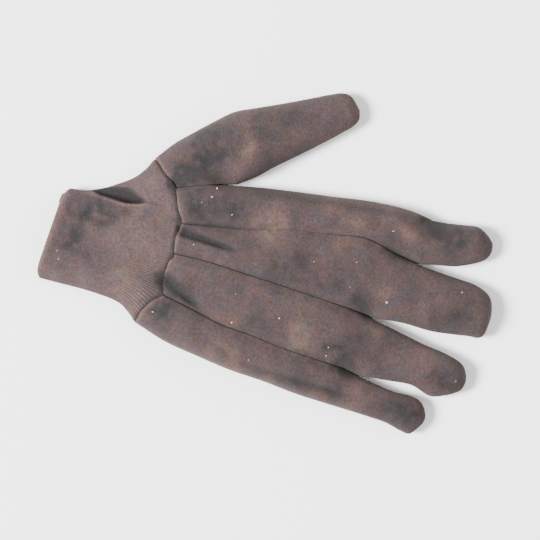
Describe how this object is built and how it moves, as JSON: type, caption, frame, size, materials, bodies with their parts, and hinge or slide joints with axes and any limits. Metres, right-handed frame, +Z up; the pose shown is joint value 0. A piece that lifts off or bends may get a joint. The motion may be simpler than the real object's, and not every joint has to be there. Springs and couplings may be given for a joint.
{
  "type": "work glove",
  "caption": "Right-hand work glove of brown cotton jersey, lying back up, with back strips for the middle and ring fingers, a sewn-on thumb and a rib-knit wrist.",
  "frame": {"origin": "middle of the glove's outline seen from above, on the surface that the palm lies on", "axes": "+X from the wrist opening to the fingertips, +Y towards the thumb, +Z up out of the back of the hand"},
  "size_m": [0.2624, 0.183, 0.022],
  "materials": {
    "brown_jersey": "matte fleecy cotton jersey, mottled brown",
    "rib_knit": "matte fine rib knit, brown"
  },
  "bodies": {
    "root": {"knit_wrist": "rib_knit", "palm": "brown_jersey", "middle_finger_back": "brown_jersey", "ring_finger_back": "brown_jersey", "thumb": "brown_jersey"}
  },
  "joints": []
}
